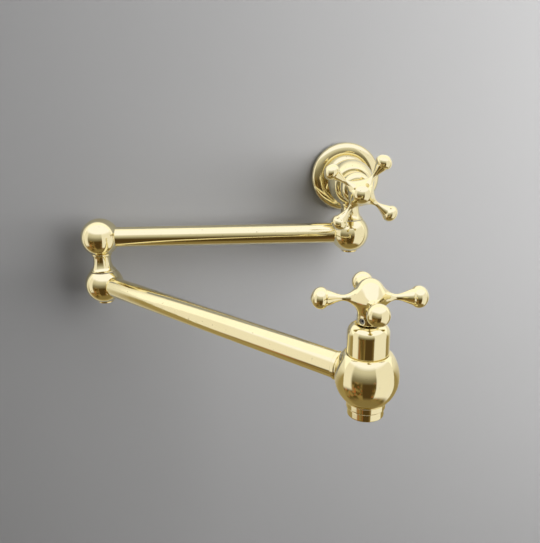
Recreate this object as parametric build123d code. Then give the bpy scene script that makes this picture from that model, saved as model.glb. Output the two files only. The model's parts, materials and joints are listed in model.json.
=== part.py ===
from build123d import *
import math
import os

# Wall mounted pot filler. Origin: the inlet axis at the face of the wall.
# +X runs along the wall, +Y into the wall, +Z up. Millimetres.

# ---- driving dimensions: layout ----
WALL_TO_SWIVEL = 38.0          # wall face to the vertical swivel axis
SWIVEL_DROP = 47.8             # inlet axis down to the first arm's centre line
ELBOW_DROP = 46.0              # first arm's centre line down to the second arm's
ARM_1_LENGTH = 235.5           # swivel axis to elbow axis
ARM_2_LENGTH = 296.2           # elbow axis to spout axis
ARM_2_REST_ANGLE = 43.2        # second arm's swing out of the folded line, degrees
HANDLE_1_ANGLE = 54.4          # one arm of the wall handle above the horizontal, degrees
HANDLE_2_ANGLE = -1.5          # one arm of the spout handle from +X, degrees

# ---- fits ----
RUNNING_FIT = 0.05             # radial, turning parts
SCREWED_FIT = 0.05             # radial, parts screwed or brazed together
AXIAL_PLAY = 0.15              # between a swivel neck and the washer under it
MOVING_GAP = 0.3               # between parts that turn past each other
DISC_GAP = 0.05                # lapped faces of the two ceramic discs

# ---- valve body, in its own frame: +Z along the bonnet, centre at the bulb's widest ----
BULB_RADIUS = 21.3
BULB_FRONT = 24.5              # semi-axis towards the bonnet
BULB_BACK = 25.6               # the wall valve's semi-axis away from it
BONNET_SEAT = 16.5             # height of the flat that carries the bonnet sleeve
PORT_RADIUS = 6.0
SEAT_DEPTH = 7.0               # seat face, below the bulb's centre
CHAMBER_RADIUS = 8.9
BONNET_THREAD_RADIUS = 10.5
BONNET_THREAD_DEPTH = 7.5

# ---- inlet and flange ----
BACK_NECK_RADIUS = 13.2
BACK_NECK_STANDOFF = 0.4       # back neck's end face to the wall
SHANK_RADIUS = 10.48           # G 1/2 male thread, major radius
SHANK_PROJECTION = 18.0
SHANK_STUB_RADIUS = 9.8
SHANK_STUB_LENGTH = 12.0
SHANK_BORE = 6.5
SHANK_CHAMFER = 1.0
GASKET_THICKNESS = 1.0
GASKET_RADIUS = 32.4
FLANGE_RADIUS = 33.1
FLANGE_EDGE = 2.4              # straight outer edge
FLANGE_ROLL = 9.0              # width of the rounded outer band
FLANGE_ROLL_HEIGHT = 9.2
FLANGE_CREST = 5.6             # top of the rounded band, in from the outer edge
FLANGE_SHOULDER = 2.9          # a point on its outer slope, in from the outer edge
FLANGE_SHOULDER_DROP = 1.4     # and below the crest
FLANGE_VALLEY = 1.1            # step down inside the rounded band
FLANGE_RIM_HEIGHT = 16.0       # top of the inner cone, from the wall
FLANGE_LIP = 1.2               # width of the cone's rim
FLANGE_WALL = 1.8
FLANGE_CLEARANCE = 0.3
FLANGE_RING_SECTION = 0.75
FLANGE_RING_HEIGHT = 12.5      # from the wall

# ---- bonnet sleeve ----
SLEEVE_RADIUS = 13.9
SLEEVE_TOP = 36.7
SLEEVE_SHOULDER = 5.4          # width of the rounded shoulder
SLEEVE_SHOULDER_HEIGHT = 6.2
SLEEVE_WALL = 1.5
SLEEVE_THREAD_LENGTH = 5.0

# ---- cartridge ----
CARTRIDGE_NOSE_RADIUS = 8.3
CARTRIDGE_NOSE_WALL = 1.3
CARTRIDGE_FLANGE_RADIUS = 11.6
CARTRIDGE_FLANGE_HEIGHT = 3.0
CARTRIDGE_BARREL_RADIUS = 8.4
CARTRIDGE_BARREL_TOP = 31.0
SEAL_HEIGHT = 3.0
SEAL_SQUEEZE = 0.05
FIXED_DISC_THICKNESS = 3.2
MOVING_DISC_THICKNESS = 3.0
MOVING_DISC_INSET = 0.35
DISC_PORT_RADIUS = 1.9
DISC_PORT_PITCH = 3.6
WINDOW_WIDTH = 6.0
WINDOW_HEIGHT = 4.5
SPINDLE_RADIUS = 4.0
SPINDLE_COLLAR_RADIUS = 6.2
SPINDLE_COLLAR_HEIGHT = 2.6
SPINDLE_SOCKET_DEPTH = 12.0    # how far the spindle enters the handle
SPINDLE_RING_SECTION = 0.75
SPINDLE_RING_HEIGHT = 19.0
SPINDLE_FLAT = 0.8
TANG_WIDTH = 3.0
TANG_DEPTH = 1.2

# ---- cross handle, in its own frame: +Z along the spindle, origin in the plane of the arms ----
HANDLE_PLANE = 54.6            # above the bulb's centre
HUB_NECK_RADIUS = 7.9
HUB_RADIUS = 8.9
HUB_TOP = 12.7
HUB_NECK_TOP = -9.0
HUB_EDGE = 0.4
HUB_GAP = 0.9                  # between the hub and the sleeve under it
TIP_RADIUS = 6.7
TIP_CENTRE = 30.8
TRUMPET_END = 27.3
WAIST_RADIUS = 2.3
WAIST_AT = 17.5
ARM_ROOT = 8.0                 # flare's radius, and its distance from the spindle's axis
ARM_ROOT_SLOPE = 1.25          # fall of the flare's radius along the arm, at its root
SET_SCREW_RADIUS = 1.95
SET_SCREW_HEIGHT = 2.8         # above the hub's lower face
SET_SCREW_RECESS = 1.0
SET_SCREW_KEY = 1.1

# ---- arm tubes, balls and swivels ----
TUBE_RADIUS = 9.5
TUBE_WALL = 1.2
BALL_RADIUS = 18.0
SOCKET_DEPTH = 5.5             # how far a tube enters a ball, from the ball's surface
TUBE_PORT_RADIUS = 6.5
BALL_TOP_CUT = 4.8             # taken off a ball for the flat under its washer
BALL_BOTTOM_CUT = 2.6          # taken off for the flat over its cap
ELBOW_BALL_CUT = 2.8           # taken off for the flat that the elbow neck screws up against
BULB_CUT = 2.3                 # taken off the wall valve's bulb for its neck
WASHER_THICKNESS = 0.6
WASHER_RADIUS = 11.3
SPIGOT_RADIUS = 6.5
SPIGOT_BORE = 3.8
SPIGOT_PORT_RADIUS = 2.2
SWIVEL_CHAMBER_RADIUS = 8.6
SWIVEL_CHAMBER_HALF = 4.6
LOWER_LAND_END = 9.0           # below the ball's centre
CLIP_POCKET_RADIUS = 8.2
CLIP_RADIUS = 7.8
CLIP_THICKNESS = 1.0
CLIP_GROOVE_RADIUS = 5.8
CLIP_SLOT = 3.4
RING_SECTION = 0.75
RING_GROOVE_WIDTH = 2.0
RING_HEIGHTS = (7.4, -6.8)     # the two O-rings on a spigot, from the ball's centre
NECK_COLLAR_RADIUS = 9.5
NECK_COLLAR_HEIGHT = 1.3
NECK_WAIST_RADIUS = 8.2
NECK_FOOT_RADIUS = 11.8
NECK_FOOT_HEIGHT = 0.9
NECK_FLARE_HEIGHT = 9.4
NECK_TAIL_RADIUS = 6.9
NECK_TAIL_LENGTH = 7.0
CAP_RADIUS = 9.4
CAP_HEIGHT = 2.6
CAP_PLUG_LENGTH = 1.0
SPIGOT_END_GAP = 0.8           # between a spigot's end and the cap's plug
CAP_EDGE = 0.9

# ---- spout ----
SPOUT_BULB_BACK = 22.9         # the spout bulb's semi-axis away from its bonnet
SPOUT_SOCKET = 13.5            # tube socket's bottom, from the spout axis
COLLAR_RADIUS = 10.2
COLLAR_WIDTH = 3.0
COLLAR_OFFSET = 20.2           # collar's inner end, from the spout axis
SPOUT_BAND_RADIUS = 13.1
SPOUT_BAND_BOTTOM = 22.2
SPOUT_THREAD_RADIUS = 11.0
SPOUT_THREAD_TOP = 14.0
AERATOR_RADIUS = 12.2
AERATOR_GROOVE = 0.5
AERATOR_BOTTOM = 28.4
AERATOR_BORE = 9.6
AERATOR_LEDGE = 0.9
AERATOR_MOUTH = 1.2            # insert's face, above the shell's lower rim
AERATOR_WASHER = 1.6
JET_RADIUS = 0.8
JET_PITCH = 2.9
JET_ROWS = 2

# ---- worked out from the sizes above ----
BALL_TOP = BALL_RADIUS - BALL_TOP_CUT
BALL_BOTTOM = BALL_RADIUS - BALL_BOTTOM_CUT
ELBOW_BALL_FLAT = BALL_RADIUS - ELBOW_BALL_CUT
BULB_FLAT = BULB_RADIUS - BULB_CUT
TUBE_SOCKET = BALL_RADIUS - SOCKET_DEPTH
SPIGOT_END = BALL_BOTTOM - CAP_PLUG_LENGTH - SPIGOT_END_GAP
BORE_OF_SPIGOT = SPIGOT_RADIUS + RUNNING_FIT
HUB_BASE = SLEEVE_TOP + HUB_GAP
HUB_DEPTH = HANDLE_PLANE - HUB_BASE
NECK_FOOT_AT = BALL_TOP + WASHER_THICKNESS + AXIAL_PLAY
DISC_FACE = -SEAT_DEPTH + SEAL_HEIGHT + FIXED_DISC_THICKNESS
SOCKET_RADIUS = TUBE_RADIUS + SCREWED_FIT
HANDLE_ARMS = 4
SCREW_ANGLE = 225.0            # set screw, between two arms


def outline(*edges):
    """Closed face in the XZ plane from joined edges given as (radius, height)."""
    return make_face(Plane.XZ * Curve(edges))


def turned(*corners):
    """Solid of revolution about Z from (radius, height) corners."""
    return revolve(make_face(Plane.XZ * Polyline(*corners, close=True)), Axis.Z)


def lathe(*edges):
    """Solid of revolution about Z from joined edges that may be curved."""
    return revolve(outline(*edges), Axis.Z)


def rod(radius, low, high):
    """Cylinder about Z between two heights."""
    return Pos(0, 0, low) * Cylinder(radius, high - low, align=(Align.CENTER, Align.CENTER, Align.MIN))


def tube(outer, inner, low, high):
    """Ring about Z between two heights."""
    return rod(outer, low, high) - rod(inner, low - 1, high + 1)


def along_x(shape):
    """Turn a shape built about Z so that +Z becomes +X."""
    return Rot(Y=90) * shape


def quarter_oval(start, end, width_first):
    """Quarter of an oval between two points, leaving the first along its width or its height."""
    corner = (end[0], start[1]) if width_first else (start[0], end[1])
    pull = 4 / 3 * (math.sqrt(2) - 1)
    first = tuple(a + pull * (c - a) for a, c in zip(start, corner))
    second = tuple(b + pull * (c - b) for b, c in zip(end, corner))
    return Bezier(start, first, second, end)


def o_ring(section, outer, height):
    """Round-section seal whose outside just reaches the given radius."""
    return Pos(0, 0, height) * Torus(outer - section, section)


# ---- valve body: a turned bulb with a cartridge chamber down its axis ----
def bulb(depth):
    """Egg-shaped casting blank of the given back semi-axis, cut flat for the bonnet sleeve."""
    front = quarter_oval((BULB_RADIUS, 0), (0, BULB_FRONT), False)
    back = quarter_oval((0, -depth), (BULB_RADIUS, 0), True)
    axis = Line((0, BULB_FRONT), (0, -depth))
    blank = lathe(back, front, axis)
    return blank - rod(BULB_RADIUS, BONNET_SEAT, BULB_FRONT + 1)


def cartridge_chamber():
    """Bores that take the cartridge: thread, chamber and seat port."""
    thread_floor = BONNET_SEAT - BONNET_THREAD_DEPTH
    thread = rod(BONNET_THREAD_RADIUS, thread_floor, BONNET_SEAT + 1)
    chamber = rod(CHAMBER_RADIUS, -SEAT_DEPTH, thread_floor + 1)
    return thread + chamber


def wall_valve_body():
    """Bulb with a back neck for the inlet and a flat below for the swivel neck."""
    back_face = -WALL_TO_SWIVEL + BACK_NECK_STANDOFF
    ring_floor = -WALL_TO_SWIVEL + FLANGE_RING_HEIGHT
    stub_end = -WALL_TO_SWIVEL + SHANK_STUB_LENGTH
    body = bulb(BULB_BACK) + rod(BACK_NECK_RADIUS, back_face, -SEAT_DEPTH - 2)
    body -= cartridge_chamber()
    body -= rod(PORT_RADIUS, stub_end - 1, -SEAT_DEPTH + 1)
    body -= rod(SHANK_STUB_RADIUS + SCREWED_FIT, back_face - 1, stub_end + 0.5)
    groove_inner = BACK_NECK_RADIUS + FLANGE_CLEARANCE - 2 * FLANGE_RING_SECTION
    body -= tube(BACK_NECK_RADIUS + 1, groove_inner, ring_floor - 1, ring_floor + 1)
    below = Pos(0, -BULB_FLAT, 0) * Rot(X=90)
    body -= below * rod(BULB_RADIUS, 0, BULB_RADIUS)
    body -= below * rod(NECK_TAIL_RADIUS + SCREWED_FIT, -NECK_TAIL_LENGTH - 0.5, 1)
    body -= below * rod(SPIGOT_BORE, -BULB_FLAT, 1)
    return body


def spout_valve_body():
    """Bulb with a side socket for the arm tube and a threaded mouth for the aerator."""
    band_top = -SPOUT_THREAD_TOP
    body = bulb(SPOUT_BULB_BACK)
    body -= rod(BULB_RADIUS, -SPOUT_BULB_BACK - 1, -SPOUT_BAND_BOTTOM)
    body += rod(SPOUT_BAND_RADIUS, -SPOUT_BAND_BOTTOM, band_top)
    body -= cartridge_chamber()
    body -= rod(PORT_RADIUS, band_top - 1, -SEAT_DEPTH + 1)
    body -= rod(SPOUT_THREAD_RADIUS + SCREWED_FIT, -SPOUT_BAND_BOTTOM - 1, band_top)
    inward = Rot(Y=-90)
    body -= inward * rod(SOCKET_RADIUS, SPOUT_SOCKET, BULB_RADIUS + 1)
    body -= inward * rod(PORT_RADIUS, CHAMBER_RADIUS - 2, BULB_RADIUS)
    return body


def bonnet_sleeve():
    """Cover that screws down over the cartridge barrel and hides its hexagon."""
    shoulder_radius = SLEEVE_RADIUS - SLEEVE_SHOULDER
    shoulder_low = SLEEVE_TOP - SLEEVE_SHOULDER_HEIGHT
    hole = SPINDLE_RADIUS + MOVING_GAP
    outer = lathe(
        Line((0, BONNET_SEAT), (SLEEVE_RADIUS, BONNET_SEAT)),
        Line((SLEEVE_RADIUS, BONNET_SEAT), (SLEEVE_RADIUS, shoulder_low)),
        quarter_oval((SLEEVE_RADIUS, shoulder_low), (shoulder_radius, SLEEVE_TOP), False),
        Line((shoulder_radius, SLEEVE_TOP), (0, SLEEVE_TOP)),
        Line((0, SLEEVE_TOP), (0, BONNET_SEAT)),
    )
    thread_low = CARTRIDGE_BARREL_TOP - SLEEVE_THREAD_LENGTH
    thread_hole = CARTRIDGE_BARREL_RADIUS + SCREWED_FIT
    inner = rod(SLEEVE_RADIUS - SLEEVE_WALL, BONNET_SEAT - 1, thread_low)
    inner += rod(thread_hole, thread_low - 1, CARTRIDGE_BARREL_TOP + 2 * MOVING_GAP)
    inner += rod(hole, CARTRIDGE_BARREL_TOP, SLEEVE_TOP + 1)
    return outer - inner


# ---- quarter-turn ceramic cartridge ----
def disc_ports(thickness, low, turn):
    """Pair of through holes for a ceramic disc."""
    holes = Part()
    for side in (0, 180):
        at = Rot(Z=turn + side) * Pos(DISC_PORT_PITCH, 0, 0)
        holes += at * rod(DISC_PORT_RADIUS, low - 1, low + thickness + 1)
    return holes


def cartridge_housing():
    """Brass housing: nose with windows, thread, hexagon and threaded barrel."""
    nose_inner = CARTRIDGE_NOSE_RADIUS - CARTRIDGE_NOSE_WALL
    nose_low = -SEAT_DEPTH + SEAL_HEIGHT
    thread_floor = BONNET_SEAT - BONNET_THREAD_DEPTH
    collar_top = DISC_FACE + DISC_GAP + MOVING_DISC_THICKNESS + SPINDLE_COLLAR_HEIGHT + MOVING_GAP
    housing = rod(CARTRIDGE_NOSE_RADIUS, nose_low, thread_floor + 1)
    housing += rod(BONNET_THREAD_RADIUS - SCREWED_FIT, thread_floor + SCREWED_FIT, BONNET_SEAT)
    hexagon = extrude(RegularPolygon(CARTRIDGE_FLANGE_RADIUS, 6), CARTRIDGE_FLANGE_HEIGHT)
    housing += Pos(0, 0, BONNET_SEAT) * hexagon
    housing += rod(CARTRIDGE_BARREL_RADIUS, BONNET_SEAT, CARTRIDGE_BARREL_TOP)
    housing -= rod(nose_inner, nose_low - 1, collar_top)
    housing -= rod(SPINDLE_RADIUS + RUNNING_FIT, collar_top - 1, CARTRIDGE_BARREL_TOP + 1)
    window_low = DISC_FACE + MOVING_GAP
    window = Box(3 * CARTRIDGE_NOSE_RADIUS, WINDOW_WIDTH, WINDOW_HEIGHT,
                 align=(Align.CENTER, Align.CENTER, Align.MIN))
    housing -= Pos(0, 0, window_low) * window
    return housing


def seat_seal():
    """Rubber ring squeezed between the body's seat and the fixed disc."""
    outer = CARTRIDGE_NOSE_RADIUS - CARTRIDGE_NOSE_WALL
    return tube(outer, PORT_RADIUS - 0.5, -SEAT_DEPTH, -SEAT_DEPTH + SEAL_HEIGHT - SEAL_SQUEEZE)


def fixed_disc():
    """Lapped ceramic disc held still in the housing's nose."""
    low = -SEAT_DEPTH + SEAL_HEIGHT
    radius = CARTRIDGE_NOSE_RADIUS - CARTRIDGE_NOSE_WALL - SCREWED_FIT
    return rod(radius, low, DISC_FACE) - disc_ports(FIXED_DISC_THICKNESS, low, 0)


def moving_disc():
    """Lapped ceramic disc turned by the spindle's tang; its ports are a quarter turn away at rest."""
    low = DISC_FACE + DISC_GAP
    radius = CARTRIDGE_NOSE_RADIUS - CARTRIDGE_NOSE_WALL - MOVING_DISC_INSET
    disc = rod(radius, low, low + MOVING_DISC_THICKNESS)
    disc -= disc_ports(MOVING_DISC_THICKNESS, low, 90)
    slot = Box(2 * SPINDLE_RADIUS, TANG_WIDTH + 2 * SCREWED_FIT, TANG_DEPTH + 1,
               align=(Align.CENTER, Align.CENTER, Align.MIN))
    return disc - Pos(0, 0, low + MOVING_DISC_THICKNESS - TANG_DEPTH) * slot


def spindle():
    """Shaft from the moving disc up into the handle, with a groove for its O-ring and a flat for the screw."""
    collar_low = DISC_FACE + DISC_GAP + MOVING_DISC_THICKNESS
    top = HUB_BASE + SPINDLE_SOCKET_DEPTH
    shaft = rod(SPINDLE_RADIUS, collar_low, top)
    shaft += rod(SPINDLE_COLLAR_RADIUS, collar_low, collar_low + SPINDLE_COLLAR_HEIGHT)
    tang = Box(2 * (SPINDLE_RADIUS - 3 * SCREWED_FIT), TANG_WIDTH, TANG_DEPTH + 1,
               align=(Align.CENTER, Align.CENTER, Align.MIN))
    shaft += Pos(0, 0, collar_low - TANG_DEPTH + SCREWED_FIT) * tang
    groove_floor = SPINDLE_RADIUS - 2 * SPINDLE_RING_SECTION
    half = SPINDLE_RING_SECTION + SCREWED_FIT
    shaft -= tube(SPINDLE_RADIUS + 1, groove_floor, SPINDLE_RING_HEIGHT - half, SPINDLE_RING_HEIGHT + half)
    flat = Box(2 * SPINDLE_RADIUS, 4 * SPINDLE_RADIUS, SPINDLE_SOCKET_DEPTH,
               align=(Align.MIN, Align.CENTER, Align.MIN))
    flat_at = Rot(Z=SCREW_ANGLE) * Pos(SPINDLE_RADIUS - SPINDLE_FLAT, 0, HUB_BASE)
    return shaft - flat_at * flat


# ---- cross handle ----
def handle_arm():
    """Waisted arm that swells like a trumpet into a ball end, along +X."""
    reach = TIP_CENTRE - TRUMPET_END
    trumpet_radius = math.sqrt(TIP_RADIUS ** 2 - reach ** 2)
    tip = (TIP_CENTRE + TIP_RADIUS, 0)
    crown = (TIP_CENTRE, TIP_RADIUS)
    root = (ARM_ROOT, ARM_ROOT)
    waist = (WAIST_AT, WAIST_RADIUS)
    mouth = (TRUMPET_END, trumpet_radius)
    edges = Curve((
        Line((0, 0), (0, ARM_ROOT)),
        Line((0, ARM_ROOT), root),
        Spline(root, waist, tangents=((1, -ARM_ROOT_SLOPE), (1, 0))),
        Spline(waist, mouth, tangents=((1, 0), (trumpet_radius, reach))),
        ThreePointArc(mouth, crown, tip),
        Line(tip, (0, 0)),
    ))
    return revolve(make_face(edges), Axis.X)


def cross_handle():
    """Cast cross: domed hub on a round neck, four arms, spindle socket and set screw hole."""
    dome_centre = HUB_TOP - HUB_RADIUS
    hub = lathe(
        Line((0, -HUB_DEPTH), (HUB_NECK_RADIUS - HUB_EDGE, -HUB_DEPTH)),
        Line((HUB_NECK_RADIUS - HUB_EDGE, -HUB_DEPTH), (HUB_NECK_RADIUS, -HUB_DEPTH + HUB_EDGE)),
        Line((HUB_NECK_RADIUS, -HUB_DEPTH + HUB_EDGE), (HUB_NECK_RADIUS, HUB_NECK_TOP)),
        Spline((HUB_NECK_RADIUS, HUB_NECK_TOP), (HUB_RADIUS, dome_centre), tangents=((0, 1), (0, 1))),
        CenterArc((0, dome_centre), HUB_RADIUS, 0, 90),
        Line((0, HUB_TOP), (0, -HUB_DEPTH)),
    )
    arm = handle_arm()
    cross = hub
    for count in range(HANDLE_ARMS):
        cross += Rot(Z=count * 360 / HANDLE_ARMS) * arm
    socket = rod(SPINDLE_RADIUS + SCREWED_FIT, -HUB_DEPTH - 1, -HUB_DEPTH + SPINDLE_SOCKET_DEPTH + 0.5)
    return cross - socket - screw_place() * rod(SET_SCREW_RADIUS + SCREWED_FIT, 0, HUB_NECK_RADIUS + 1)


def screw_place():
    """Frame of the set screw: +Z runs outwards between two arms, near the foot of the hub."""
    return Rot(Z=SCREW_ANGLE) * Pos(0, 0, -HUB_DEPTH + SET_SCREW_HEIGHT) * Rot(Y=90)


def set_screw():
    """Headless screw with a hexagon key socket, sunk below the neck's surface."""
    low = SPINDLE_RADIUS - SPINDLE_FLAT + SCREWED_FIT
    high = HUB_NECK_RADIUS - SET_SCREW_RECESS
    screw = rod(SET_SCREW_RADIUS, low, high)
    key = extrude(RegularPolygon(SET_SCREW_KEY, 6), 2)
    return screw_place() * (screw - Pos(0, 0, high - 1.5) * key)


# ---- swivels ----
def swivel_neck(seat_to_ball):
    """Neck and spigot in one turning; origin at the centre of the ball below."""
    top = seat_to_ball
    collar_low = top - NECK_COLLAR_HEIGHT
    foot_top = NECK_FOOT_AT + NECK_FOOT_HEIGHT
    flare_top = foot_top + NECK_FLARE_HEIGHT
    neck = lathe(
        Line((0, top), (NECK_COLLAR_RADIUS, top)),
        Line((NECK_COLLAR_RADIUS, top), (NECK_COLLAR_RADIUS, collar_low)),
        Spline((NECK_COLLAR_RADIUS, collar_low), (NECK_WAIST_RADIUS, flare_top),
               tangents=((-1, -0.6), (0, -1)), tangent_scalars=(0.5, 0.7)),
        Spline((NECK_WAIST_RADIUS, flare_top), (NECK_FOOT_RADIUS, foot_top),
               tangents=((0, -1), (1, -0.6)), tangent_scalars=(0.8, 0.8)),
        Line((NECK_FOOT_RADIUS, foot_top), (NECK_FOOT_RADIUS, NECK_FOOT_AT)),
        Line((NECK_FOOT_RADIUS, NECK_FOOT_AT), (0, NECK_FOOT_AT)),
        Line((0, NECK_FOOT_AT), (0, top)),
    )
    neck += rod(NECK_TAIL_RADIUS, top - 1, top + NECK_TAIL_LENGTH)
    neck += rod(SPIGOT_RADIUS, -SPIGOT_END, NECK_FOOT_AT + 1)
    groove_floor = SPIGOT_RADIUS - 2 * RING_SECTION - SCREWED_FIT
    for height in RING_HEIGHTS:
        low = height - RING_GROOVE_WIDTH / 2
        neck -= tube(SPIGOT_RADIUS + 1, groove_floor, low, low + RING_GROOVE_WIDTH)
    clip_top = -LOWER_LAND_END - MOVING_GAP
    neck -= tube(SPIGOT_RADIUS + 1, CLIP_GROOVE_RADIUS, clip_top - CLIP_THICKNESS, clip_top)
    neck -= rod(SPIGOT_BORE, -SWIVEL_CHAMBER_HALF + 1, top + NECK_TAIL_LENGTH + 1)
    for turn in (0, 90):
        neck -= Rot(Z=turn) * along_x(rod(SPIGOT_PORT_RADIUS, -SPIGOT_RADIUS - 1, SPIGOT_RADIUS + 1))
    return neck


def swivel_rings():
    """The spigot's two O-rings."""
    rings = Part()
    for height in RING_HEIGHTS:
        rings += o_ring(RING_SECTION, SPIGOT_RADIUS, height)
    return rings


def swivel_clip():
    """Split ring in the spigot's groove that keeps the ball on."""
    top = -LOWER_LAND_END - MOVING_GAP - SCREWED_FIT
    ring = tube(CLIP_RADIUS, CLIP_GROOVE_RADIUS + SCREWED_FIT, top - CLIP_THICKNESS + 2 * SCREWED_FIT, top)
    slot = Box(2 * CLIP_RADIUS, CLIP_SLOT, 4 * CLIP_THICKNESS, align=(Align.MIN, Align.CENTER, Align.CENTER))
    return ring - Pos(0, 0, top) * slot


def swivel_washer():
    """Low-friction ring between the neck's foot and the ball."""
    return tube(WASHER_RADIUS, BORE_OF_SPIGOT, BALL_TOP, BALL_TOP + WASHER_THICKNESS)


def swivel_ball():
    """Ball that turns on a spigot, with a water chamber, a tube socket along +X and a clip pocket."""
    ball = Sphere(BALL_RADIUS)
    ball -= rod(BALL_RADIUS, BALL_TOP, BALL_RADIUS + 1)
    ball -= rod(BALL_RADIUS, -BALL_RADIUS - 1, -BALL_BOTTOM)
    ball -= rod(BORE_OF_SPIGOT, -BALL_RADIUS, BALL_RADIUS)
    ball -= rod(SWIVEL_CHAMBER_RADIUS, -SWIVEL_CHAMBER_HALF, SWIVEL_CHAMBER_HALF)
    ball -= rod(CLIP_POCKET_RADIUS, -BALL_RADIUS, -LOWER_LAND_END)
    ball -= along_x(rod(SOCKET_RADIUS, TUBE_SOCKET, BALL_RADIUS + 1))
    return ball - along_x(rod(SWIVEL_CHAMBER_HALF, 0, TUBE_SOCKET + 1))


def ball_cap():
    """Screwed plug that closes the clip pocket under a ball."""
    low = -BALL_BOTTOM - CAP_HEIGHT
    plug = CLIP_POCKET_RADIUS - SCREWED_FIT
    return turned(
        (0, -BALL_BOTTOM + CAP_PLUG_LENGTH),
        (plug, -BALL_BOTTOM + CAP_PLUG_LENGTH),
        (plug, -BALL_BOTTOM),
        (CAP_RADIUS, -BALL_BOTTOM),
        (CAP_RADIUS, low + CAP_EDGE),
        (CAP_RADIUS - CAP_EDGE, low),
        (0, low),
    )


def elbow_ball():
    """Ball at the first arm's end, bored up from below and in from its tube."""
    ball = Sphere(BALL_RADIUS)
    ball -= rod(BALL_RADIUS, -BALL_RADIUS - 1, -ELBOW_BALL_FLAT)
    tail_top = -ELBOW_BALL_FLAT + NECK_TAIL_LENGTH + 0.5
    ball -= rod(NECK_TAIL_RADIUS + SCREWED_FIT, -BALL_RADIUS, tail_top)
    ball -= rod(TUBE_PORT_RADIUS, tail_top - 1, SPIGOT_BORE)
    ball -= along_x(rod(SOCKET_RADIUS, TUBE_SOCKET, BALL_RADIUS + 1))
    return ball - along_x(rod(TUBE_PORT_RADIUS - 1, 0, TUBE_SOCKET + 1))


def arm_tube(start, end):
    """Drawn tube along +X."""
    return along_x(tube(TUBE_RADIUS, TUBE_RADIUS - TUBE_WALL, start, end))


# ---- inlet and flange, heights measured out from the wall ----
def inlet_shank():
    """Threaded inlet stub: the wall end stands behind the wall face, the other screws into the body."""
    outer = rod(SHANK_RADIUS, -SHANK_PROJECTION, 0)
    outer = chamfer(outer.edges().group_by(Axis.Z)[0], SHANK_CHAMFER)
    stub = rod(SHANK_STUB_RADIUS, 0, SHANK_STUB_LENGTH)
    return outer + stub - rod(SHANK_BORE, -SHANK_PROJECTION - 1, SHANK_STUB_LENGTH + 1)


def flange_gasket():
    """Foam ring between the flange and the wall."""
    return tube(GASKET_RADIUS, BACK_NECK_RADIUS + FLANGE_CLEARANCE, 0, GASKET_THICKNESS)


def flange_profile(inset):
    """Front line of the flange, moved inwards by a wall thickness for its hollow back."""
    edge_top = GASKET_THICKNESS + FLANGE_EDGE
    roll_inner = FLANGE_RADIUS - FLANGE_ROLL
    rim = BACK_NECK_RADIUS + FLANGE_CLEARANCE + FLANGE_LIP
    outer = (FLANGE_RADIUS - inset, edge_top)
    band = (FLANGE_RADIUS - FLANGE_SHOULDER, FLANGE_ROLL_HEIGHT - FLANGE_SHOULDER_DROP - inset)
    top = (FLANGE_RADIUS - FLANGE_CREST, FLANGE_ROLL_HEIGHT - inset)
    valley = (roll_inner - inset, FLANGE_ROLL_HEIGHT - FLANGE_VALLEY - inset)
    cone = (rim, FLANGE_RIM_HEIGHT - inset)
    roll = Spline(outer, band, top, valley, tangents=((0, 1), (-1, -0.5)))
    dish = Spline(valley, cone, tangents=((-1, 0.05), (-0.35, 1)), tangent_scalars=(1.0, 0.7))
    return outer, cone, [roll, dish]


def wall_flange():
    """Spun brass flange: rounded outer band, shallow valley and a cone up to the back neck."""
    bore = BACK_NECK_RADIUS + FLANGE_CLEARANCE
    outer, cone, front = flange_profile(0)
    face = lathe(
        Line((bore, GASKET_THICKNESS), (FLANGE_RADIUS, GASKET_THICKNESS)),
        Line((FLANGE_RADIUS, GASKET_THICKNESS), outer),
        *front,
        Line(cone, (bore, FLANGE_RIM_HEIGHT)),
        Line((bore, FLANGE_RIM_HEIGHT), (bore, GASKET_THICKNESS)),
    )
    inner, ledge, back = flange_profile(FLANGE_WALL)
    hollow = lathe(
        Line((ledge[0], 0), (inner[0], 0)),
        Line((inner[0], 0), inner),
        *back,
        Line(ledge, (ledge[0], 0)),
    )
    return face - hollow


# ---- spout fittings, in the spout valve's frame ----
def tube_collar():
    """Ring round the second tube where it enters the spout body."""
    return along_x(tube(COLLAR_RADIUS, SOCKET_RADIUS, -COLLAR_OFFSET - COLLAR_WIDTH, -COLLAR_OFFSET))


def aerator_shell():
    """Ring screwed up into the spout body, with an inner ledge that holds the insert."""
    groove_low = -SPOUT_BAND_BOTTOM - AERATOR_GROOVE
    thread_top = -SPOUT_THREAD_TOP - AERATOR_WASHER
    shell = rod(AERATOR_RADIUS, -AERATOR_BOTTOM, groove_low)
    shell = fillet(shell.edges().group_by(Axis.Z)[0], AERATOR_LEDGE)
    shell += rod(SPOUT_THREAD_RADIUS, groove_low - 1, thread_top)
    shell -= rod(AERATOR_BORE, -AERATOR_BOTTOM + AERATOR_MOUTH, thread_top + 1)
    return shell - rod(AERATOR_BORE - AERATOR_LEDGE, -AERATOR_BOTTOM - 1, thread_top)


def aerator_insert():
    """Plastic insert with a ring pattern of jets."""
    low = -AERATOR_BOTTOM + AERATOR_MOUTH
    high = -SPOUT_THREAD_TOP - AERATOR_WASHER
    insert = rod(AERATOR_BORE - SCREWED_FIT, low, high)
    holes = rod(JET_RADIUS, low - 1, high + 1)
    for ring in range(1, JET_ROWS + 1):
        for count in range(6 * ring):
            at = Rot(Z=count * 60 / ring) * Pos(ring * JET_PITCH, 0, 0)
            holes += at * rod(JET_RADIUS, low - 1, high + 1)
    return insert - holes


def aerator_washer():
    """Flat rubber ring above the insert."""
    high = -SPOUT_THREAD_TOP
    return tube(SPOUT_THREAD_RADIUS, PORT_RADIUS + 1, high - AERATOR_WASHER, high)


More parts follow.
